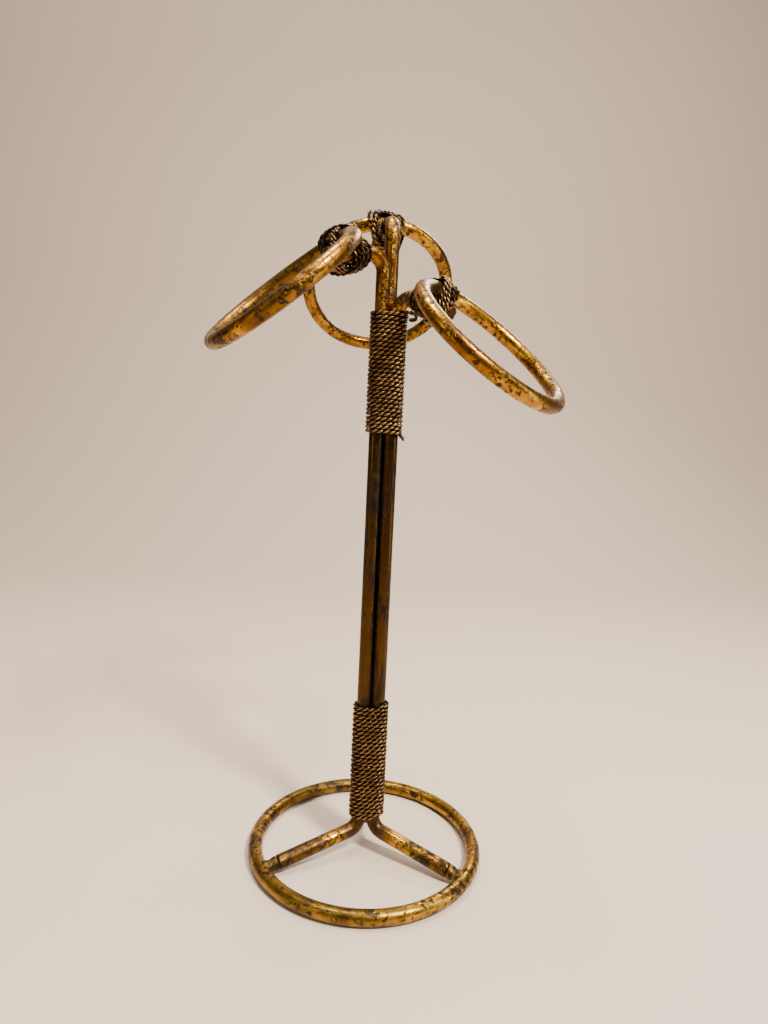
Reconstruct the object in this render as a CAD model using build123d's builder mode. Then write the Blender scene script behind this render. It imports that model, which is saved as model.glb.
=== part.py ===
from build123d import *
from math import atan2, cos, degrees, hypot, pi, radians, sin, sqrt, tan
import os

# Three-ring gilt rod stand. Millimetres, +Z up, origin on the floor at the centre of the
# base ring, X to the right and Y to the back when the stand is seen from its front.

# Stock
rod_dia = 9.0             # solid rod used for every ring, spoke, stem and arm
wire_dia = 2.6            # two strands twisted together, overall
fit_gap = 0.05            # clearance between pieces that lie against each other
braze_film = 0.3          # braze between an arm and the ring lying on it

# Base
base_ring_dia = 142.4     # centreline
foot_depth = 0.15         # depth of the worn flat under the base ring
spoke_rise = 10.0         # degrees, spokes climb towards the stem
spoke_bend_radius = 9.0
spoke_azimuths = (-153.0, -32.0, 88.0)
weld_length = 6.5         # neck of weld between a spoke end and the base ring
weld_dia = 8.6
weld_waist_dia = 7.8

# Stem
bundle_azimuths = (-151.5, -31.5, 88.5)
lower_wrap_turns = 30     # close-wound up from the top of the spoke bends
upper_wrap_turns = 28     # close-wound down from the lowest arm bend

# Arms and towel rings
names = ("left", "right", "back")
ring_azimuths = (-152.0, -37.0, 96.0)
joint_offsets = (-1.5, 1.5, 0.0)       # along the ring tube, from its inner end to the arm
ring_heights = (382.4, 356.1, 408.0)   # tube centre at the inner end of each ring
ring_reach = 34.0         # stem axis to the tube centre at the inner end
ring_dia = 96.8           # centreline
ring_tilt = 42.7          # degrees, rings dip away from the stem
arm_bend_radius = 10.0
arm_dips = (19.0, 24.0, 11.5)          # degrees, arms dip away from the stem
arm_overrun = 13.0        # arm end beyond the ring it carries
arm_coil_turns = 3        # fewer where the straight part of the arm is too short
cross_turns = 3           # turns in each diagonal of the lashing
end_round = 0.7

# Worked-out sizes
rod_r = rod_dia / 2
wire_r = wire_dia / 2
wire_pitch = wire_dia                  # close-wound
loose_turn_rise = wire_dia * 0.92      # last turn of the upper binding, riding on the lowest arm bend
base_r = base_ring_dia / 2
ring_r = ring_dia / 2
base_tube_z = rod_r - foot_depth
bundle_r = (rod_dia + fit_gap) / sqrt(3)
coil_r = rod_r + fit_gap + wire_dia
seat = rod_dia + braze_film

os.makedirs("parts", exist_ok=True)


def flat(azimuth):
    return Vector(cos(radians(azimuth)), sin(radians(azimuth)), 0)


def bundle_point(k):
    return flat(bundle_azimuths[k]) * bundle_r


def up(point, height):
    return Vector(point.X, point.Y, height)


def spoke_axis(k):
    # Point where the spoke leaves its bend, and its outward direction.
    rise = radians(spoke_rise)
    run = flat(spoke_azimuths[k])
    reach = base_r - bundle_r
    bend_run = spoke_bend_radius * (1 - sin(rise))
    height = base_tube_z + (reach - bend_run) * tan(rise)
    start = up(bundle_point(k) + run * bend_run, height)
    return start, Vector(run.X * cos(rise), run.Y * cos(rise), -sin(rise))


def spoke_length():
    # Distance along the spoke from its bend to the centre of the base ring tube.
    rise = radians(spoke_rise)
    return (base_r - bundle_r - spoke_bend_radius * (1 - sin(rise))) / cos(rise)


def ring_inner_end(k):
    # Centre of the ring tube at the end nearest the stem.
    run = flat(ring_azimuths[k])
    return up(bundle_point(k) + run * (ring_reach - bundle_r), ring_heights[k])


def ring_plane(k):
    tilt = radians(ring_tilt)
    run = flat(ring_azimuths[k])
    down_slope = Vector(run.X * cos(tilt), run.Y * cos(tilt), -sin(tilt))
    square = Vector(run.X * sin(tilt), run.Y * sin(tilt), cos(tilt))
    return Plane(origin=ring_inner_end(k) + down_slope * ring_r, x_dir=down_slope, z_dir=square)


def joint(k):
    # Centre of the ring tube over the arm, and the direction of the tube there.
    plane = ring_plane(k)
    turn = joint_offsets[k] / ring_r
    inward = plane.x_dir * cos(turn) - plane.y_dir * sin(turn)
    return plane.origin - inward * ring_r, plane.z_dir.cross(inward)


def arm_along(k, run):
    dip = radians(arm_dips[k])
    return Vector(run.X * cos(dip), run.Y * cos(dip), -sin(dip))


def arm_run(k):
    # Level direction of the arm, aimed so that its axis passes square under the joint.
    point, tube = joint(k)
    foot = bundle_point(k)
    run = flat(ring_azimuths[k])
    for _ in range(8):
        under = point - arm_along(k, run).cross(tube).normalized() * seat
        run = Vector(under.X - foot.X, under.Y - foot.Y, 0).normalized()
    return run


def arm_frame(k):
    # Unit vectors of an arm: along it, across it, and square to its upper side.
    along = arm_along(k, arm_run(k))
    normal = along.cross(joint(k)[1]).normalized()
    return along, normal.cross(along), normal


def arm_seat(k):
    # Point of the arm axis straight under the ring tube.
    return joint(k)[0] - arm_frame(k)[2] * seat


def arm_bend_end(k):
    # Point where the arm leaves its bend.
    dip = radians(arm_dips[k])
    point = bundle_point(k) + arm_run(k) * (arm_bend_radius * (1 + sin(dip)))
    down = hypot(arm_seat(k).X - point.X, arm_seat(k).Y - point.Y) * tan(dip)
    return up(point, arm_seat(k).Z + down)


def spoke_bend_top():
    # Height at which the rods become upright.
    return spoke_axis(0)[0].Z + spoke_bend_radius * cos(radians(spoke_rise))


def arm_bend_foot(k):
    # Height at which a rod starts to bend into its arm.
    return arm_bend_end(k).Z - arm_bend_radius * cos(radians(arm_dips[k]))


def rod_wire(k):
    # Centreline: spoke, bend, stem, bend, arm.
    rise = radians(spoke_rise)
    dip = radians(arm_dips[k])
    foot = bundle_point(k)
    spoke_start, spoke_dir = spoke_axis(k)
    spoke_end = spoke_start + spoke_dir * (spoke_length() - rod_r - weld_length)
    low = up(foot, spoke_bend_top())
    half = (pi / 2 - rise) / 2
    low_out = flat(spoke_azimuths[k]) * spoke_bend_radius * (1 - cos(half))
    low_mid = up(foot + low_out, low.Z - spoke_bend_radius * sin(half))
    arm_start = arm_bend_end(k)
    high = up(foot, arm_bend_foot(k))
    half = (pi / 2 + dip) / 2
    high_out = arm_run(k) * arm_bend_radius * (1 - cos(half))
    high_mid = up(foot + high_out, high.Z + arm_bend_radius * sin(half))
    arm_end = arm_seat(k) + arm_frame(k)[0] * arm_overrun
    with BuildLine() as centreline:
        Line(spoke_end, spoke_start)
        ThreePointArc(spoke_start, low_mid, low)
        Line(low, high)
        ThreePointArc(high, high_mid, arm_start)
        Line(arm_start, arm_end)
    return centreline.line


def rounded_triangle(centres, reach):
    # Closed level path round the outside of the three stem rods.
    with BuildLine() as outline:
        for k in range(3):
            here = centres[k]
            side = (centres[(k + 1) % 3] - here).normalized()
            turn = (here - centres[(k + 2) % 3]).normalized()
            out = Vector(side.Y, -side.X, 0)
            back_out = Vector(turn.Y, -turn.X, 0)
            crown = (out + back_out).normalized()
            Line(here + out * reach, centres[(k + 1) % 3] + out * reach)
            ThreePointArc(here + back_out * reach, here + crown * reach, here + out * reach)
    return outline.line


def ridged_section(plane, turns):
    # Section through close-wound turns; local X runs outwards, local Y along the coil.
    waist = wire_dia * 0.7
    top = turns * wire_pitch
    with BuildSketch(plane) as section:
        with BuildLine():
            for n in range(turns):
                low = n * wire_pitch
                crest = (wire_dia, low + wire_pitch / 2)
                ThreePointArc((waist, low), crest, (waist, low + wire_pitch))
            Polyline((waist, top), (0, top), (0, 0), (waist, 0))
        make_face()
    return section.sketch


def stem_wrap(height, turns):
    # Binding round the three stem rods.
    centres = [up(bundle_point(k), height) for k in range(3)]
    path = rounded_triangle(centres, rod_r + fit_gap)
    side = (bundle_point(1) - bundle_point(0)).normalized()
    out = Vector(side.Y, -side.X, 0)
    section = ridged_section(Plane(origin=path @ 0, x_dir=out, z_dir=out.cross(Vector(0, 0, 1))), turns)
    with BuildPart() as wrap:
        sweep(sections=section, path=path)
    return wrap.part


def loose_turn(height):
    # Single turn pushed out by the rods that have started to bend at its height.
    centres = []
    for k in range(3):
        risen = max(height + wire_r - arm_bend_foot(k), 0)
        lean = risen / arm_bend_radius
        pushed = arm_bend_radius * (1 - sqrt(1 - lean ** 2)) + rod_r * (1 / sqrt(1 - lean ** 2) - 1)
        centres.append(up(bundle_point(k) + arm_run(k) * pushed, height))
    path = rounded_triangle(centres, rod_r + fit_gap + wire_r)
    with BuildPart() as turn:
        with BuildSketch(Plane(origin=path @ 0, z_dir=path % 0)):
            Circle(wire_r)
        sweep(path=path)
    return turn.part


def crossing_loop(k, side, offset, lift):
    # One turn of the lashing: a closed loop over the ring tube and under the coiled arm, in a
    # plane standing square on the arm and turned half way between the arm and the ring tube.
    along, across, normal = arm_frame(k)
    tube = joint(k)[1]
    diagonal = (along + across * side).normalized()
    square = diagonal.cross(normal)
    top_centre = offset * tube.dot(diagonal) / tube.dot(square)
    low_centre = offset * along.dot(diagonal) / along.dot(square)
    top = seat + rod_r + fit_gap + wire_r + lift
    bottom = -(coil_r + fit_gap + wire_r + lift)
    top_half = (rod_r + fit_gap) / abs(tube.dot(square)) + wire_r
    low_half = (coil_r + fit_gap) / abs(along.dot(square)) + wire_r
    plane = Plane(origin=arm_seat(k) + square * offset, x_dir=diagonal, z_dir=square)
    corners = (
        (top_centre - top_half, top),
        (top_centre + top_half, top),
        (top_centre + top_half, seat),
        (low_centre + low_half, 0),
        (low_centre + low_half, bottom),
        (low_centre - low_half, bottom),
        (low_centre - low_half, 0),
        (top_centre - top_half, seat),
    )
    with BuildLine(plane) as loop:
        FilletPolyline(*corners, radius=wire_dia * 1.5, close=True)
    return loop.line


# Base ring with its worn flat
with BuildPart() as base_ring:
    with Locations((0, 0, base_tube_z)):
        Torus(base_r, rod_r)
    with Locations((0, 0, -rod_dia)):
        Box(2 * base_ring_dia, 2 * base_ring_dia, 2 * rod_dia, mode=Mode.SUBTRACT)
base_ring.part.label = "base_ring"
export_step(base_ring.part, "parts/base_ring.step")

for k, name in enumerate(names):
    along, across, normal = arm_frame(k)

    # Rod: spoke, stem and arm in one bent length
    centreline = rod_wire(k)
    with BuildPart() as rod:
        with BuildSketch(Plane(origin=centreline @ 0, z_dir=centreline % 0)):
            Circle(rod_r)
        sweep(path=centreline)
        fillet(rod.faces().filter_by(GeomType.PLANE).edges(), end_round)
    rod.part.label = "rod_" + name
    export_step(rod.part, "parts/rod_" + name + ".step")

    # Towel ring lying on the arm
    with BuildPart() as towel_ring:
        with Locations(ring_plane(k)):
            Torus(ring_r, rod_r)
    towel_ring.part.label = "ring_" + name
    export_step(towel_ring.part, "parts/ring_" + name + ".step")

    # Neck of weld between the spoke end and the base ring
    spoke_start, spoke_dir = spoke_axis(k)
    neck_foot = spoke_start + spoke_dir * (spoke_length() - rod_r - weld_length + fit_gap / 2)
    neck_side = Vector(-spoke_dir.Y, spoke_dir.X, 0).normalized()
    with BuildPart() as weld:
        with BuildSketch(Plane(origin=neck_foot, x_dir=spoke_dir, z_dir=neck_side)):
            with BuildLine():
                Polyline(
                    (0, weld_dia / 2 - end_round),
                    (0, 0),
                    (weld_length + rod_r, 0),
                    (weld_length + rod_r, weld_dia / 2 + 0.2),
                    (weld_length, weld_dia / 2),
                )
                Spline(
                    (weld_length, weld_dia / 2),
                    (weld_length * 0.55, weld_waist_dia / 2),
                    (weld_length * 0.15, weld_dia / 2),
                    (0, weld_dia / 2 - end_round),
                )
            make_face()
        revolve(axis=Axis(neck_foot, spoke_dir))
        with Locations((0, 0, base_tube_z)):
            Torus(base_r, rod_r + fit_gap / 2, mode=Mode.SUBTRACT)
    weld.part.label = "spoke_weld_" + name
    export_step(weld.part, "parts/spoke_weld_" + name + ".step")

    # Braze between the arm and the ring lying across it
    with BuildPart() as braze:
        with Locations(Plane(origin=arm_seat(k) + normal * (seat / 2), z_dir=normal)):
            Cylinder(rod_r * 0.8, rod_r)
        with Locations(Plane(origin=arm_seat(k), z_dir=along)):
            Cylinder(rod_r + fit_gap / 2, 4 * rod_dia, mode=Mode.SUBTRACT)
        with Locations(ring_plane(k)):
            Torus(ring_r, rod_r + fit_gap / 2, mode=Mode.SUBTRACT)
    braze.part.label = "ring_braze_" + name
    export_step(braze.part, "parts/ring_braze_" + name + ".step")

    # Wire coil on the arm, between its bend and the ring
    coil_top = arm_seat(k) - along * (coil_r * 0.66)
    coil_room = (coil_top - arm_bend_end(k)).dot(along) + wire_dia / 4
    coil_turns = max(min(arm_coil_turns, int(coil_room / wire_pitch)), 1)
    coil_foot = coil_top - along * (coil_turns * wire_pitch)
    coil_plane = Plane(
        origin=coil_foot + normal * (rod_r + fit_gap),
        x_dir=normal,
        z_dir=normal.cross(along),
    )
    with BuildPart() as coil:
        add(ridged_section(coil_plane, coil_turns))
        revolve(axis=Axis(coil_foot, along))
    coil.part.label = "arm_coil_" + name
    export_step(coil.part, "parts/arm_coil_" + name + ".step")

    # Crossed turns lashing the ring to the arm
    with BuildPart() as lashing:
        for side in (1, -1):
            for n in range(cross_turns):
                offset = (n - (cross_turns - 1) / 2) * (wire_dia + fit_gap)
                loop = crossing_loop(k, side, offset, wire_r * (1 - side) / 2)
                with BuildSketch(Plane(origin=loop @ 0, z_dir=loop % 0)):
                    Circle(wire_r)
                sweep(path=loop)
        with Locations(ring_plane(k)):
            Torus(ring_r, rod_r + fit_gap / 2, mode=Mode.SUBTRACT)
        with Locations(Plane(origin=arm_seat(k) - along * coil_r, z_dir=along)):
            Cylinder(coil_r + fit_gap, 2 * coil_r, mode=Mode.SUBTRACT)
    lashing.part.label = "lashing_" + name
    export_step(lashing.part, "parts/lashing_" + name + ".step")

# Bindings round the stem
upper_wrap_top = min(arm_bend_foot(k) for k in range(3)) - fit_gap
with BuildPart() as upper_wrap:
    add(stem_wrap(upper_wrap_top - upper_wrap_turns * wire_pitch, upper_wrap_turns))
    add(loose_turn(upper_wrap_top + loose_turn_rise - wire_r))
upper_wrap.part.label = "upper_wrap"
export_step(upper_wrap.part, "parts/upper_wrap.step")

lower_wrap = stem_wrap(spoke_bend_top() + fit_gap, lower_wrap_turns)
lower_wrap.label = "lower_wrap"
export_step(lower_wrap, "parts/lower_wrap.step")
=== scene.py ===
import math

import bpy
import numpy as np
from mathutils import Matrix, Vector


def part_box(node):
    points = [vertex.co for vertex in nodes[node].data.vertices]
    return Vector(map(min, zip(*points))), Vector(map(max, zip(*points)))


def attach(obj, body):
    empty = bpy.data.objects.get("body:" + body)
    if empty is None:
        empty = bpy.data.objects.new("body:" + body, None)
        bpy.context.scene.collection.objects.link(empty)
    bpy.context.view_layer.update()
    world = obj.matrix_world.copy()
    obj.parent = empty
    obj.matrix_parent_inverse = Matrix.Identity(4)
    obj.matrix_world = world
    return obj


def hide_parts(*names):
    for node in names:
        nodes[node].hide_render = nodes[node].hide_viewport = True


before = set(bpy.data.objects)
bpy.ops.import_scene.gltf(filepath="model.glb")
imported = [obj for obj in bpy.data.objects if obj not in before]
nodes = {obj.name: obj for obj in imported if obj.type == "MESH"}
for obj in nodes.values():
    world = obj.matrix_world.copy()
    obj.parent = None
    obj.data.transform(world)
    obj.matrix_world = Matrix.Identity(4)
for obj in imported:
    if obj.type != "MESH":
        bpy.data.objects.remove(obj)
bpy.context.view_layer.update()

NAMES = ("left", "right", "back")

# Sizes shared with the CAD, in metres
ROD_R = 0.0045
WIRE = 0.0026
PITCH = 0.0026
LAY = 0.0072                     # length in which the two strands turn once round each other
RING_R = 0.0484
ARM_COIL = (-0.0140, -0.0042)    # along the arm from the ring, stem side
END_COIL = (0.0055, 0.0107)      # along the arm from the ring, end side
CROSS_TURNS = 3.0                # in each diagonal of a lashing
TURN_SPACING = WIRE * 1.03
SIDE_SHIFT = 0.0015              # lashing moved to the back of the left and right joints
SIDE_SLOPE, BACK_SLOPE = 1.05, 0.8    # how far each diagonal leans along the arm
STRAND_OVERLAP = 1.04
BUNDLE_AZIMUTHS = (-151.5, -31.5, 88.5)
BUNDLE_R = 0.00905 / math.sqrt(3)


# ---------------------------------------------------------------- node helpers

def new_material(name):
    mat = bpy.data.materials.new(name)
    mat.use_nodes = True
    tree = mat.node_tree
    tree.nodes.clear()
    return mat, tree


def node(tree, kind):
    return tree.nodes.new(kind)


def ramp(tree, source, stops, interpolation="LINEAR"):
    n = tree.nodes.new("ShaderNodeValToRGB")
    n.color_ramp.interpolation = interpolation
    elements = n.color_ramp.elements
    while len(elements) > 1:
        elements.remove(elements[-1])
    elements[0].position, elements[0].color = stops[0][0], stops[0][1]
    for position, color in stops[1:]:
        e = elements.new(position)
        e.color = color
    tree.links.new(source, n.inputs["Fac"])
    return n.outputs["Color"]


def grey(v):
    return (v, v, v, 1.0)


def noise(tree, coords, scale, detail=4.0, roughness=0.55, distortion=0.0):
    n = node(tree, "ShaderNodeTexNoise")
    n.inputs["Scale"].default_value = scale
    n.inputs["Detail"].default_value = detail
    n.inputs["Roughness"].default_value = roughness
    n.inputs["Distortion"].default_value = distortion
    tree.links.new(coords, n.inputs["Vector"])
    return n.outputs["Fac"]


def mix(tree, factor, a, b, blend="MIX"):
    n = tree.nodes.new("ShaderNodeMix")
    n.data_type = "RGBA"
    n.blend_type = blend
    n.clamp_factor = True
    for socket, value in ((n.inputs[0], factor), (n.inputs[6], a), (n.inputs[7], b)):
        if isinstance(value, (tuple, float)):
            socket.default_value = value
        else:
            tree.links.new(value, socket)
    return n.outputs[2]


def maths(tree, op, a, b=None, clamp=False):
    n = tree.nodes.new("ShaderNodeMath")
    n.operation = op
    n.use_clamp = clamp
    for socket, value in ((n.inputs[0], a), (n.inputs[1], b)):
        if value is None:
            continue
        if isinstance(value, (int, float)):
            socket.default_value = value
        else:
            tree.links.new(value, socket)
    return n.outputs[0]


def stretched(tree, coords, scale):
    n = tree.nodes.new("ShaderNodeMapping")
    n.inputs["Scale"].default_value = scale
    tree.links.new(coords, n.inputs["Vector"])
    return n.outputs["Vector"]


def gilt(name, bright, mid, dull, speck=0.5, patches=0.5, stem=False, seed=0.0, rough=0.26):
    """Antique gilt: leaf gold over brown size, with dark specks, patches and dulled stretches."""
    mat, tree = new_material(name)
    links = tree.links
    tex = tree.nodes.new("ShaderNodeTexCoord")
    shift = tree.nodes.new("ShaderNodeVectorMath")
    shift.operation = "ADD"
    shift.inputs[1].default_value = (seed, seed * 0.7, seed * 0.3)
    links.new(tex.outputs["Object"], shift.inputs[0])
    coords = shift.outputs[0]
    along = coords
    if stem:
        # Upright lengths are streaked lengthwise; spokes and arms are not.
        parts = tree.nodes.new("ShaderNodeSeparateXYZ")
        links.new(tex.outputs["Object"], parts.inputs[0])
        upright = ramp(tree, parts.outputs["Z"],
                       ((0.0, grey(0.0)), (0.060, grey(1.0)), (0.34, grey(0.0))), "CONSTANT")
        along = mix(tree, upright, coords, stretched(tree, coords, (1.0, 1.0, 0.14)))

    cloud = noise(tree, along, 42.0, 5.0, 0.62, 0.5)
    tone = ramp(tree, cloud, ((0.36, mid), (0.62, bright), (0.80, bright)))
    worn = noise(tree, coords, 120.0, 4.0, 0.65, 0.3)
    worn_mask = ramp(tree, worn, ((0.45, grey(0.0)), (0.62, grey(1.0))))
    tone = mix(tree, maths(tree, "MULTIPLY", worn_mask, 0.6), tone, mid)
    tarnish = noise(tree, coords, 14.0, 4.0, 0.6, 0.4)
    tarnish_mask = ramp(tree, tarnish, ((0.47, grey(0.0)), (0.62, grey(1.0))))
    tone = mix(tree, maths(tree, "MULTIPLY", tarnish_mask, 0.8), tone, dull)

    if stem:
        bends = ramp(tree, parts.outputs["Z"],
                     ((0.340, grey(0.0)), (0.350, grey(0.72)), (0.384, grey(0.60)), (0.396, grey(0.0))))
        tone = mix(tree, bends, tone, (0.15, 0.052, 0.009, 1))
        # The upright lengths are mixed towards a near-black brown, most strongly over their middle height.
        upright_darkening = ramp(tree, parts.outputs["Z"],
                     ((0.06, grey(0.68)), (0.14, grey(0.9)), (0.26, grey(0.92)), (0.34, grey(0.55))))
        tone = mix(tree, upright, tone, mix(tree, upright_darkening, tone, (0.040, 0.019, 0.006, 1)))
    patch = noise(tree, along, 88.0, 8.0, 0.74, 0.7)
    patch = maths(tree, "ADD", maths(tree, "MULTIPLY", patch, 0.8), maths(tree, "MULTIPLY", tarnish, 0.28))
    patch_mask = ramp(tree, patch,
                      ((0.665 - 0.09 * patches, grey(0.0)), (0.72 - 0.09 * patches, grey(1.0))))
    speckle = noise(tree, along, 300.0, 3.0, 0.65, 0.4)
    speck_gate = noise(tree, coords, 45.0, 3.0, 0.6)
    speck_mask = ramp(tree, maths(tree, "ADD", speckle, maths(tree, "MULTIPLY", speck_gate, 0.6)),
                      ((0.93 - 0.09 * speck, grey(0.0)), (0.965 - 0.08 * speck, grey(1.0))))
    fine = noise(tree, coords, 1000.0, 2.0, 0.6)
    fine_mask = ramp(tree, fine, ((0.62, grey(0.0)), (0.69, grey(1.0))))
    age = maths(tree, "MAXIMUM", patch_mask, speck_mask)
    age = maths(tree, "MAXIMUM", age, maths(tree, "MULTIPLY", fine_mask, 0.5), True)
    if stem:
        # Dark crotch where the spokes leave the lower binding: partly patina on the spokes, partly painted
        # shade.
        reach = tree.nodes.new("ShaderNodeVectorMath")
        reach.operation = "LENGTH"
        links.new(stretched(tree, tex.outputs["Object"], (1.0, 1.0, 0.0)), reach.inputs[0])
        near = ramp(tree, maths(tree, "MULTIPLY", reach.outputs["Value"], 20.0),
                    ((0.30, grey(1.0)), (0.44, grey(0.0))))
        low = ramp(tree, parts.outputs["Z"], ((0.024, grey(1.0)), (0.030, grey(0.0))))
        crotch_patina_and_shade = maths(tree, "MULTIPLY", near, low)
        crotch_patina_and_shade = maths(tree, "MULTIPLY", crotch_patina_and_shade, ramp(tree, worn, ((0.30, grey(0.7)), (0.55, grey(1.0)))))
        age = maths(tree, "MAXIMUM", age, crotch_patina_and_shade, True)
    dark = ramp(tree, worn, ((0.40, (0.012, 0.008, 0.005, 1)), (0.65, (0.05, 0.026, 0.012, 1))))
    color = mix(tree, maths(tree, "MULTIPLY", age, 0.95), tone, dark)

    bsdf = node(tree, "ShaderNodeBsdfPrincipled")
    out = node(tree, "ShaderNodeOutputMaterial")
    links.new(color, bsdf.inputs["Base Color"])
    links.new(ramp(tree, age, ((0.0, grey(1.0)), (1.0, grey(0.86)))), bsdf.inputs["Metallic"])
    rough_noise = noise(tree, coords, 160.0, 4.0, 0.6)
    rough_base = ramp(tree, rough_noise, ((0.3, grey(rough - 0.06)), (0.7, grey(rough + 0.12))))
    rough_base = mix(tree, maths(tree, "MULTIPLY", tarnish_mask, 0.6), rough_base, grey(0.46))
    links.new(mix(tree, age, rough_base, grey(0.42)), bsdf.inputs["Roughness"])
    relief = maths(tree, "ADD", maths(tree, "MULTIPLY", worn, 0.6), maths(tree, "MULTIPLY", age, -0.4))
    relief = maths(tree, "ADD", relief, maths(tree, "MULTIPLY", noise(tree, coords, 620.0, 3.0), 0.15))
    bump = node(tree, "ShaderNodeBump")
    bump.inputs["Strength"].default_value = 0.5
    bump.inputs["Distance"].default_value = 0.0005
    links.new(relief, bump.inputs["Height"])
    links.new(bump.outputs["Normal"], bsdf.inputs["Normal"])
    links.new(bsdf.outputs[0], out.inputs[0])
    return mat


def wire_metal(name, seed=0.0):
    """Bronzed wire: old gold where it has been rubbed on the crests; nearly black in the lay and on the
    inward side, partly tarnish and partly painted shade.
    """
    mat, tree = new_material(name)
    links = tree.links
    tex = tree.nodes.new("ShaderNodeTexCoord")
    shift = tree.nodes.new("ShaderNodeVectorMath")
    shift.operation = "ADD"
    shift.inputs[1].default_value = (seed, seed, seed)
    links.new(tex.outputs["Object"], shift.inputs[0])
    coords = shift.outputs[0]
    height = tree.nodes.new("ShaderNodeAttribute")
    height.attribute_name = "crest"
    crest = ramp(tree, height.outputs["Fac"], ((0.45, grey(0.0)), (0.97, grey(1.0))))
    cloud = noise(tree, coords, 70.0, 4.0, 0.6)
    rubbed = ramp(tree, cloud, ((0.35, (0.12, 0.055, 0.018, 1)), (0.62, (0.38, 0.20, 0.06, 1))))
    # Painted shade: all but the outer crest of each strand is mixed to near black, standing in for the
    # shadow in the lay.
    color = mix(tree, crest, (0.012, 0.007, 0.004, 1), rubbed)
    grime = noise(tree, coords, 420.0, 4.0, 0.65)
    grime_mask = ramp(tree, grime, ((0.50, grey(0.0)), (0.66, grey(1.0))))
    color = mix(tree, maths(tree, "MULTIPLY", grime_mask, 0.75), color, (0.03, 0.02, 0.015, 1))
    bsdf = node(tree, "ShaderNodeBsdfPrincipled")
    out = node(tree, "ShaderNodeOutputMaterial")
    links.new(color, bsdf.inputs["Base Color"])
    bsdf.inputs["Metallic"].default_value = 0.9
    rough = ramp(tree, grime, ((0.35, grey(0.26)), (0.7, grey(0.5))))
    links.new(rough, bsdf.inputs["Roughness"])
    bump = node(tree, "ShaderNodeBump")
    bump.inputs["Strength"].default_value = 0.3
    bump.inputs["Distance"].default_value = 0.0002
    links.new(noise(tree, coords, 1400.0, 3.0), bump.inputs["Height"])
    links.new(bump.outputs["Normal"], bsdf.inputs["Normal"])
    links.new(bsdf.outputs[0], out.inputs[0])
    return mat


# ---------------------------------------------------------------- wire building

def resample(points, step):
    points = np.asarray(points, float)
    seg = np.linalg.norm(np.diff(points, axis=0), axis=1)
    length = np.concatenate([[0.0], np.cumsum(seg)])
    count = max(int(length[-1] / step), 2)
    s = np.linspace(0.0, length[-1], count + 1)
    out = np.stack([np.interp(s, length, points[:, i]) for i in range(3)], 1)
    return out, s


def smoothed(points, passes):
    points = points.copy()
    for _ in range(passes):
        points[1:-1] = (points[:-2] + 2 * points[1:-1] + points[2:]) / 4
    return points


def sweep_tube(center, frame_n, frame_b, radius, sides):
    """Vertices and faces of a round tube along center, with domed ends."""
    count = len(center)
    turn = np.linspace(0, 2 * np.pi, sides, endpoint=False)
    ring = np.cos(turn)[None, :, None] * frame_n[:, None] + np.sin(turn)[None, :, None] * frame_b[:, None]
    scale = np.ones(count)
    scale[0] = scale[-1] = 0.55
    verts = (center[:, None] + ring * radius * scale[:, None, None]).reshape(-1, 3)
    faces = []
    for i in range(count - 1):
        a, b = i * sides, (i + 1) * sides
        for j in range(sides):
            k = (j + 1) % sides
            faces.append((a + j, a + k, b + k, b + j))
    faces.append(tuple(range(sides - 1, -1, -1)))
    faces.append(tuple(range((count - 1) * sides, count * sides)))
    return verts, faces


def twisted_wire(name, paths, outward, material, lay=LAY, phase=0.0, sides=8, step=0.00055):
    """Two strands twisted together along each path; outward(points) gives the side away from the core."""
    all_verts, all_faces, all_crest = [], [], []
    base = 0
    strand_r = WIRE / 4 * STRAND_OVERLAP
    for path in paths:
        pts, s = resample(path, step)
        pts = smoothed(pts, 2)
        tangent = np.gradient(pts, axis=0)
        tangent /= np.linalg.norm(tangent, axis=1)[:, None]
        out = outward(pts)
        out -= (out * tangent).sum(1)[:, None] * tangent
        out /= np.linalg.norm(out, axis=1)[:, None]
        side = np.cross(out, tangent)
        wobble = 0.25 * np.sin(s / 0.021 + phase) + 0.2 * np.sin(s / 0.0083)
        turn = 2 * np.pi * s / lay + wobble + phase
        for half in (0.0, np.pi):
            c, d = np.cos(turn + half)[:, None], np.sin(turn + half)[:, None]
            center = pts + (WIRE / 4) * (c * out + d * side)
            t2 = np.gradient(center, axis=0)
            t2 /= np.linalg.norm(t2, axis=1)[:, None]
            n2 = out - (out * t2).sum(1)[:, None] * t2
            n2 /= np.linalg.norm(n2, axis=1)[:, None]
            b2 = np.cross(t2, n2)
            verts, faces = sweep_tube(center, n2, b2, strand_r, sides)
            rel = verts.reshape(len(pts), sides, 3) - pts[:, None]
            crest = (rel * out[:, None]).sum(2) / (WIRE / 2)
            all_verts.append(verts)
            all_crest.append(crest.reshape(-1))
            all_faces.extend(tuple(i + base for i in f) for f in faces)
            base += len(verts)
    mesh = bpy.data.meshes.new(name)
    verts = np.concatenate(all_verts)
    mesh.from_pydata(verts.tolist(), [], all_faces)
    attr = mesh.attributes.new("crest", "FLOAT", "POINT")
    attr.data.foreach_set("value", np.clip(np.concatenate(all_crest), 0, 1).astype(np.float32))
    mesh.materials.append(material)
    mesh.shade_smooth()
    obj = bpy.data.objects.new(name, mesh)
    bpy.context.scene.collection.objects.link(obj)
    return obj


def azimuth_vector(degrees):
    a = math.radians(degrees)
    return np.array([math.cos(a), math.sin(a), 0.0])


BUNDLE = [azimuth_vector(a) * BUNDLE_R for a in BUNDLE_AZIMUTHS]


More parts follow.
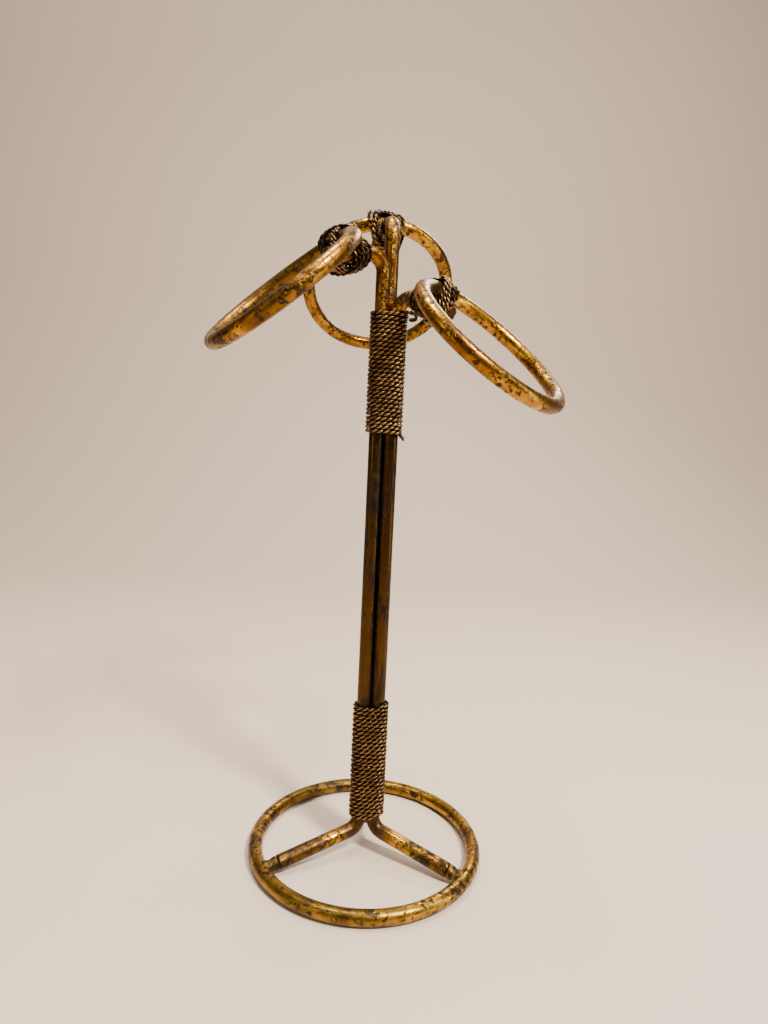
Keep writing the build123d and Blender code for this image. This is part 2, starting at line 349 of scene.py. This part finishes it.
def bundle_loop(reach):
    """Closed outline round the three rods at a distance from their centres, counter-clockwise."""
    points = []
    for i in range(3):
        a, b, c = BUNDLE[i - 1], BUNDLE[i], BUNDLE[(i + 1) % 3]
        d0, d1 = b - a, c - b
        start = math.atan2(d0[1], d0[0]) - math.pi / 2
        end = math.atan2(d1[1], d1[0]) - math.pi / 2
        while end < start:
            end += 2 * math.pi
        for t in np.linspace(start, end, 14):
            points.append(b + reach * np.array([math.cos(t), math.sin(t), 0.0]))
    points.append(points[0])
    loop, _ = resample(points, 0.0004)
    return loop


def loop_at(loop, fraction):
    seg = np.linalg.norm(np.diff(loop, axis=0), axis=1)
    length = np.concatenate([[0.0], np.cumsum(seg)])
    s = (fraction % 1.0) * length[-1]
    return np.stack([np.interp(s, length, loop[:, i]) for i in range(3)], 1)


def wound_path(bottom, top, pitch, start=0.0, jitter=0.00012):
    """Wire wound down the stem from top to bottom."""
    turns = (top - bottom) / pitch
    count = int(turns * 150)
    t = np.linspace(0, turns, count)
    loop = bundle_loop(ROD_R + WIRE / 2)
    pts = loop_at(loop, t + start)
    bend = jitter * np.sin(t * 1.7) + jitter * 0.8 * np.sin(t * 0.61 + 1.3) + jitter * 0.7 * np.sin(t * 4.4)
    radial = pts.copy()
    radial[:, 2] = 0
    radial /= np.linalg.norm(radial, axis=1)[:, None]
    pts = pts + radial * (np.abs(bend) * 0.6)[:, None]
    pts[:, 2] = top - t * pitch + bend * 0.8
    return pts


def from_axis(points):
    out = points.copy()
    out[:, 2] = 0
    return out


# ---------------------------------------------------------------- materials

gilt_ring = gilt("gilt_ring", (0.54, 0.27, 0.022, 1), (0.17, 0.062, 0.006, 1), (0.06, 0.032, 0.008, 1),
                 speck=1.0, patches=0.65, seed=1.3, rough=0.23)
gilt_base = gilt("gilt_base", (0.54, 0.30, 0.032, 1), (0.16, 0.08, 0.012, 1), (0.06, 0.045, 0.015, 1),
                 speck=1.0, patches=0.7, seed=4.1, rough=0.25)
gilt_rod = gilt("gilt_rod", (0.54, 0.27, 0.025, 1), (0.17, 0.07, 0.008, 1), (0.06, 0.033, 0.012, 1),
                speck=1.0, patches=1.0, stem=True, seed=2.2, rough=0.21)
weld_metal = gilt("weld_metal", (0.4, 0.24, 0.05, 1), (0.14, 0.075, 0.018, 1), (0.05, 0.03, 0.01, 1),
                  speck=1.0, patches=1.2, seed=6.0, rough=0.34)
wire_mat = wire_metal("twisted_wire", 0.4)

for name, obj in nodes.items():
    if name == "base_ring":
        mat = gilt_base
    elif name.startswith("rod_"):
        mat = gilt_rod
    elif name.startswith("ring_braze") or name.startswith("spoke_weld"):
        mat = weld_metal
    elif name.startswith("ring_"):
        mat = gilt_ring
    else:
        mat = wire_mat
    obj.data.materials.clear()
    obj.data.materials.append(mat)
    obj.data.shade_smooth()

# ---------------------------------------------------------------- stem bindings

for wrap, phase in (("upper_wrap", 0.0), ("lower_wrap", 1.1)):
    low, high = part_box(wrap)
    path = wound_path(low.z + WIRE / 2, high.z - WIRE / 2, PITCH, start=phase * 0.3)
    if wrap == "upper_wrap":
        # The last turns are pushed out by the lowest arm as it leaves the stem.
        lift = np.clip((path[:, 2] - (high.z - 2.2 * WIRE)) / (2 * WIRE), 0, 1)[:, None] ** 2
        toward = azimuth_vector(BUNDLE_AZIMUTHS[1])
        facing = np.clip(path @ toward / (ROD_R * 2), 0, 1)[:, None]
        path = path + toward * lift * facing * 0.0016
    paths = [path]
    if wrap == "upper_wrap":
        # Loose end curled under the right arm, and the cut end at the bottom.
        top, foot = high.z, low.z
        curl = [(0.0085, -0.0120, top - 0.0015), (0.0125, -0.0100, top - 0.0010),
                (0.0163, -0.0070, top - 0.0015), (0.0172, -0.0040, top - 0.0030),
                (0.0152, -0.0025, top - 0.0045), (0.0122, -0.0045, top - 0.0040)]
        cut = [(0.0098, -0.0088, foot + 0.0012), (0.0114, -0.0066, foot + 0.0007),
               (0.0122, -0.0046, foot - 0.0003), (0.0122, -0.0038, foot - 0.0012)]
        for rough_path in (curl, cut):
            fine, _ = resample(rough_path, 0.0004)
            paths.append(smoothed(fine, 30))
    piece = twisted_wire("wire_" + wrap, paths, from_axis, wire_mat, phase=phase)
    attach(piece, "root")
    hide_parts(wrap)

# ---------------------------------------------------------------- lashings at the rings


def vertices(name):
    mesh = nodes[name].data
    flat = np.empty(len(mesh.vertices) * 3)
    mesh.vertices.foreach_get("co", flat)
    return np.unique(flat.reshape(-1, 3).round(7), axis=0)


def joint_axes(name):
    """Seat on the arm axis under the ring tube, and the directions along the arm, along the tube and up."""
    coil = vertices("arm_coil_" + name)
    coil_middle = coil.mean(0)
    spread, axes = np.linalg.eigh(np.cov((coil - coil_middle).T))
    odd = 0 if spread[1] - spread[0] > spread[2] - spread[1] else 2
    along = axes[:, odd] * (1 if axes[:2, odd] @ coil_middle[:2] > 0 else -1)
    ring = vertices("ring_" + name)
    middle = ring.mean(0)
    square = np.linalg.eigh(np.cov((ring - middle).T))[1][:, 0]
    square *= np.sign(square[2])
    first = np.cross(square, [0.0, 0.0, 1.0])
    first /= np.linalg.norm(first)
    second = np.cross(square, first)
    turn = np.linspace(0, 2 * np.pi, 7200)
    circle = middle + RING_R * (np.cos(turn)[:, None] * first + np.sin(turn)[:, None] * second)
    rel = circle - coil_middle
    reach = np.linalg.norm(rel - (rel @ along)[:, None] * along, axis=1)
    reach[(rel @ along) > 0.05] = 1
    best = reach.argmin()
    tube = np.cross(square, circle[best] - middle)
    tube /= np.linalg.norm(tube)
    seat = coil_middle + (rel[best] @ along) * along
    up = circle[best] - seat
    gap = np.linalg.norm(up)
    return seat, along, -tube, up / gap, gap


JOINTS = {name: joint_axes(name) for name in NAMES}


def coil_path(name, start, end, radius):
    seat, along, _, normal, _ = JOINTS[name]
    across = np.cross(normal, along)
    turns = (end - start) / PITCH
    t = np.linspace(0, turns, int(turns * 60))
    angle = 2 * np.pi * t + 0.6
    c, s = np.cos(angle)[:, None], np.sin(angle)[:, None]
    return seat + radius * (c * normal - s * across) + (start + t * PITCH)[:, None] * along


def crossing_path(name, side, turns, lift, shift, phase=0.0):
    """Turns of the lashing on one diagonal, side by side, pulled tight round arm and ring tube."""
    seat, along, tube, normal, gap = JOINTS[name]
    across = np.cross(normal, along)
    slope = BACK_SLOPE if name == "back" else SIDE_SLOPE
    diagonal = along * slope + across * side
    diagonal /= np.linalg.norm(diagonal)
    square = np.cross(diagonal, normal)
    far = tube * np.sign(tube[1])
    top_r, low_r = ROD_R + WIRE / 2 + lift, ROD_R + WIRE * 1.25 + lift
    top_half, top_slope = top_r / abs(tube @ square), (tube @ diagonal) / (tube @ square)
    low_half, low_slope = low_r / abs(along @ square), (along @ diagonal) / (along @ square)
    steps = int(turns * 90)
    points = []
    for i in range(steps):
        t = i / (steps - 1) * turns
        offset = shift * (far @ square) + (t / turns - 0.5) * (turns - 1) * TURN_SPACING
        turn = 2 * math.pi * (t + phase)
        c, s = math.cos(turn), math.sin(turn)
        a, b = math.hypot(top_half * c, top_r * s), math.hypot(low_half * c, low_r * s)
        if gap * s + offset * top_slope * c + a > offset * low_slope * c + b:
            x, y = offset * top_slope + top_half ** 2 * c / a, gap + top_r ** 2 * s / a
        else:
            x, y = offset * low_slope + low_half ** 2 * c / b, low_r ** 2 * s / b
        points.append(seat + square * offset + diagonal * x + normal * y)
    path, _ = resample(points, 0.0006)
    return smoothed(path, 6)


for k, name in enumerate(NAMES):
    seat, along, tube, normal, gap = JOINTS[name]

    def from_arm(points, seat=seat, along=along):
        rel = points - seat
        return rel - (rel @ along)[:, None] * along

    def from_middle(points, seat=seat, normal=normal, gap=gap):
        return points - (seat + normal * gap / 2)

    coil = twisted_wire("wire_arm_coil_" + name,
                        [coil_path(name, *ARM_COIL, ROD_R + WIRE / 2)], from_arm, wire_mat, phase=0.4 + k)
    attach(coil, "root")
    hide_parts("arm_coil_" + name)

    shift = 0.0 if name == "back" else SIDE_SHIFT
    turns = [crossing_path(name, 1, CROSS_TURNS, 0.0, shift, 0.1),
             crossing_path(name, -1, CROSS_TURNS, WIRE * 0.6, shift, 0.35),
             coil_path(name, *END_COIL, ROD_R + WIRE / 2)]
    lashing = twisted_wire("wire_lashing_" + name, turns, from_middle, wire_mat, phase=1.7 + k)
    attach(lashing, "root")
    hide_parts("lashing_" + name)

# ---------------------------------------------------------------- floor, light, camera

profile = [(-2.5, 0.0), (0.8, 0.0)]
profile += [(0.8 + 0.7 * math.sin(a), 0.7 - 0.7 * math.cos(a)) for a in np.linspace(0.07, math.pi / 2, 24)]
profile.append((1.5, 3.0))
floor_mesh = bpy.data.meshes.new("floor")
floor_mesh.from_pydata([(x, y, z) for y, z in profile for x in (-3.5, 3.5)], [],
                       [(2 * i, 2 * i + 1, 2 * i + 3, 2 * i + 2) for i in range(len(profile) - 1)])
floor_mesh.shade_smooth()
floor = bpy.data.objects.new("floor", floor_mesh)
bpy.context.scene.collection.objects.link(floor)
floor.location.z = -0.0002
floor_mat, tree = new_material("pale_floor")
bsdf = node(tree, "ShaderNodeBsdfPrincipled")
out = node(tree, "ShaderNodeOutputMaterial")
bsdf.inputs["Base Color"].default_value = (0.66, 0.54, 0.43, 1)
bsdf.inputs["Roughness"].default_value = 0.7
tree.links.new(bsdf.outputs[0], out.inputs[0])
floor_mesh.materials.append(floor_mat)

world = bpy.data.worlds.new("studio")
bpy.context.scene.world = world
world.use_nodes = True
tree = world.node_tree
background = tree.nodes["Background"]
sky = tree.nodes.new("ShaderNodeTexCoord")
split = tree.nodes.new("ShaderNodeSeparateXYZ")
tree.links.new(sky.outputs["Generated"], split.inputs[0])
shade = ramp(tree, maths(tree, "ADD", maths(tree, "MULTIPLY", split.outputs["Z"], 0.5), 0.5),
             ((0.0, (0.10, 0.07, 0.045, 1)), (0.5, (0.20, 0.16, 0.12, 1)),
              (0.75, (0.42, 0.36, 0.30, 1)), (1.0, (0.8, 0.72, 0.62, 1))))
tree.links.new(shade, background.inputs["Color"])
background.inputs["Strength"].default_value = 0.4


def area_light(name, location, target, size, power, color):
    data = bpy.data.lights.new(name, "AREA")
    data.shape = "RECTANGLE"
    data.size, data.size_y = size
    data.energy = power
    data.color = color
    obj = bpy.data.objects.new(name, data)
    bpy.context.scene.collection.objects.link(obj)
    obj.location = location
    aim = Vector(target) - Vector(location)
    obj.rotation_euler = aim.to_track_quat("-Z", "Y").to_euler()
    return obj


area_light("key", (0.50, -0.62, 1.15), (0, 0, 0.2), (0.20, 0.20), 36, (1.0, 0.92, 0.80))
area_light("overhead", (-0.15, 0.05, 1.4), (0, 0, 0.2), (0.4, 0.3), 15, (1.0, 0.93, 0.84))
area_light("strip", (0.78, -0.22, 0.38), (0, 0, 0.25), (0.08, 0.8), 2.6, (0.80, 0.90, 1.0))
area_light("left", (-0.8, -0.6, 0.5), (0, 0, 0.25), (0.12, 0.8), 2.5, (1.0, 0.86, 0.66))
area_light("rear", (0.5, 1.0, 1.1), (0, 0, 0.25), (0.5, 0.3), 7, (1.0, 0.94, 0.86))
area_light("backdrop", (0, 0.35, 1.9), (0, 1.5, 0.7), (2.2, 0.3), 16, (1.0, 0.95, 0.9))

# Camera: 23 mm lens on a 36 mm long side, 0.27 m above the floor, looking slightly down
heading, pitch, roll = math.radians(-2.366), math.radians(6.013), math.radians(-2.715)
forward = Vector((-math.sin(heading) * math.cos(pitch),
                  math.cos(heading) * math.cos(pitch), -math.sin(pitch)))
level = Vector((math.cos(heading), math.sin(heading), 0.0))
drop = forward.cross(level)
right = level * math.cos(roll) + drop * math.sin(roll)
down = drop * math.cos(roll) - level * math.sin(roll)
camera_data = bpy.data.cameras.new("camera")
camera_data.lens = 23.0
camera_data.sensor_width = 36.0
camera_data.clip_start = 0.01
camera = bpy.data.objects.new("camera", camera_data)
bpy.context.scene.collection.objects.link(camera)
turned = Matrix((right, -down, -forward)).transposed()
camera.matrix_world = Matrix.Translation((-0.01429, -0.40853, 0.26683)) @ turned.to_4x4()
bpy.context.scene.camera = camera
